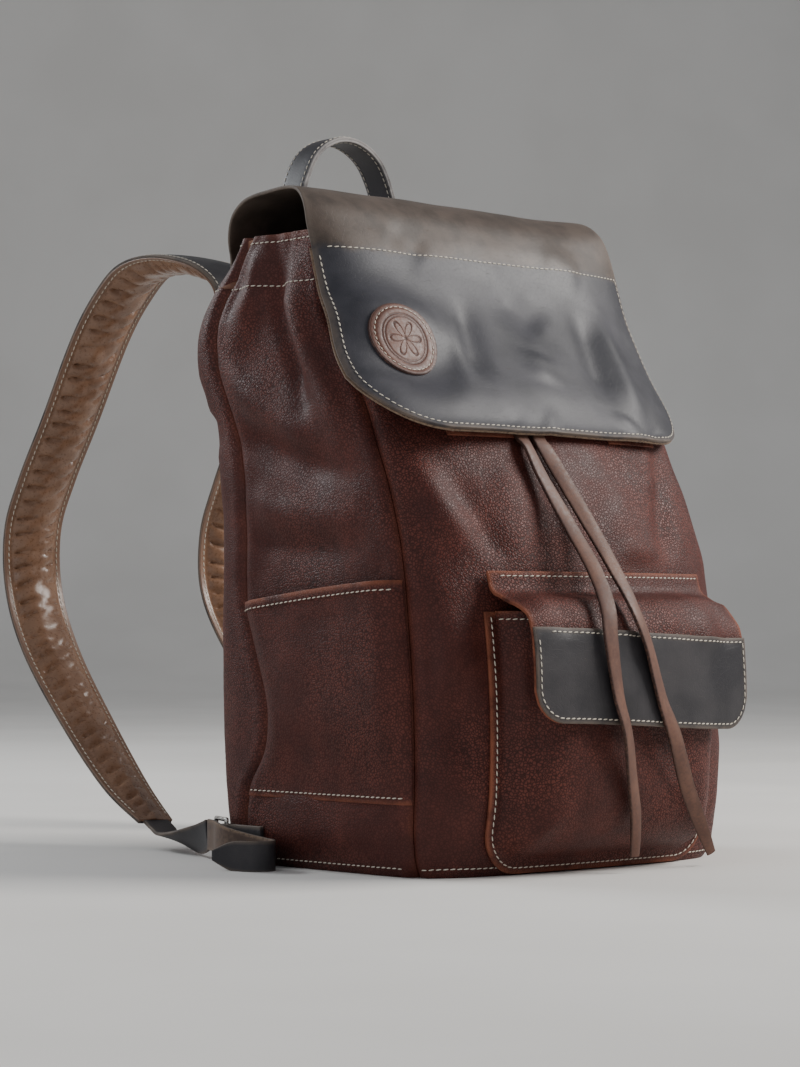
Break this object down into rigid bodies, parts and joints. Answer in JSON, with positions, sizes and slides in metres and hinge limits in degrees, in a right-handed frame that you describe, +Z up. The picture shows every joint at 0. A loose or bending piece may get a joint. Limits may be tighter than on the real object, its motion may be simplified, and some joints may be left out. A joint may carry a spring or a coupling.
{
  "type": "leather backpack",
  "caption": "Leather backpack with a drawstring mouth under a magnetic flap, a flapped front pocket, side pockets, a carry handle and padded shoulder straps.",
  "frame": {"origin": "middle of the base, on the surface the bag stands on", "axes": "+Z up, the front of the bag faces -Y, +X is the viewer's right when facing the front"},
  "size_m": [0.4004, 0.5942, 0.5449],
  "materials": {
    "body_leather": "pebbled, satin, oxblood brown",
    "flap_leather": "smooth pull-up leather, waxed, dark navy to grey-brown",
    "facing_leather": "smooth brown leather with raw edges",
    "lace_leather": "flat brown thong with dark raw edges",
    "strap_lining": "soft tan leather, puckered over the padding",
    "foam": "open-cell foam",
    "board": "fibre board",
    "steel": "polished",
    "brass": "aged"
  },
  "bodies": {
    "bag": {"front_panel": "body_leather", "back_panel": "body_leather", "side_panel_left": "body_leather", "side_panel_right": "body_leather", "base_panel": "body_leather", "base_board": "board", "casing_facing": "facing_leather", "casing_lace": "lace_leather", "eyelets": "brass", "side_pocket_left": "body_leather", "side_pocket_right": "body_leather", "front_pocket": "body_leather", "snap_sockets": "steel", "snap_patches": "body_leather", "pocket_snap_socket": "steel", "flap_root": "flap_leather", "pocket_flap_welt": "facing_leather", "back_yoke": "body_leather", "strap_root_left": "flap_leather", "strap_root_right": "flap_leather", "corner_tab_left": "flap_leather", "corner_tab_right": "flap_leather", "lace_top_left": "lace_leather", "lace_top_right": "lace_leather"},
    "main_flap": {"flap_panel": "flap_leather", "flap_facing": "facing_leather", "flap_badge": "facing_leather", "flap_snaps": "steel"},
    "pocket_flap": {"pocket_flap_leather": "body_leather", "pocket_flap_overlay": "flap_leather", "pocket_flap_snap": "steel"},
    "handle": {"handle_outer": "flap_leather", "handle_lining": "flap_leather"},
    "strap_left": {"strap_cover_left": "flap_leather", "strap_foam_left": "foam", "strap_lining_left": "strap_lining", "billet_left": "flap_leather"},
    "buckle_left": {"buckle_ring_left": "steel", "billet_tail_left": "flap_leather"},
    "lace_left": {"lace_end_left": "lace_leather"},
    "strap_right": {"strap_cover_right": "flap_leather", "strap_foam_right": "foam", "strap_lining_right": "strap_lining", "billet_right": "flap_leather"},
    "buckle_right": {"buckle_ring_right": "steel", "billet_tail_right": "flap_leather"},
    "lace_right": {"lace_end_right": "lace_leather"}
  },
  "joints": [
    {"name": "main_flap_hinge", "type": "hinge", "parent": "bag", "child": "main_flap", "pos_m": [0, 0.1044, 0.4782], "axis": [-1, 0, 0], "range_deg": [0, 105]},
    {"name": "pocket_flap_hinge", "type": "hinge", "parent": "bag", "child": "pocket_flap", "pos_m": [0, -0.113, 0.203], "axis": [-1, 0, 0], "range_deg": [0, 100]},
    {"name": "handle_tilt", "type": "hinge", "parent": "bag", "child": "handle", "pos_m": [0, 0.173, 0.392], "axis": [-1, 0, 0], "range_deg": [0, 95]},
    {"name": "strap_left_swing", "type": "hinge", "parent": "bag", "child": "strap_left", "pos_m": [-0.092, 0.176, 0.404], "axis": [0.1589, 0.123, 0.9796], "range_deg": [-8, 14]},
    {"name": "strap_right_swing", "type": "hinge", "parent": "bag", "child": "strap_right", "pos_m": [0.092, 0.176, 0.404], "axis": [0.1589, -0.123, -0.9796], "range_deg": [-8, 14]},
    {"name": "buckle_left_swing", "type": "hinge", "parent": "bag", "child": "buckle_left", "pos_m": [-0.158, 0.109, 0.022], "axis": [0, 0, 1], "range_deg": [-10, 5]},
    {"name": "buckle_right_swing", "type": "hinge", "parent": "bag", "child": "buckle_right", "pos_m": [0.158, 0.109, 0.022], "axis": [0, 0, -1], "range_deg": [-10, 5]},
    {"name": "lace_left_swing", "type": "hinge", "parent": "bag", "child": "lace_left", "pos_m": [0, -0.077, 0.298], "axis": [-1, 0, 0], "range_deg": [0, 60]},
    {"name": "lace_right_swing", "type": "hinge", "parent": "bag", "child": "lace_right", "pos_m": [0, -0.077, 0.298], "axis": [-1, 0, 0], "range_deg": [0, 60]}
  ],
  "couplings": [
    {"joint": "lace_left_swing", "follows": "pocket_flap_hinge", "ratio": 0.6},
    {"joint": "lace_right_swing", "follows": "pocket_flap_hinge", "ratio": 0.6}
  ]
}
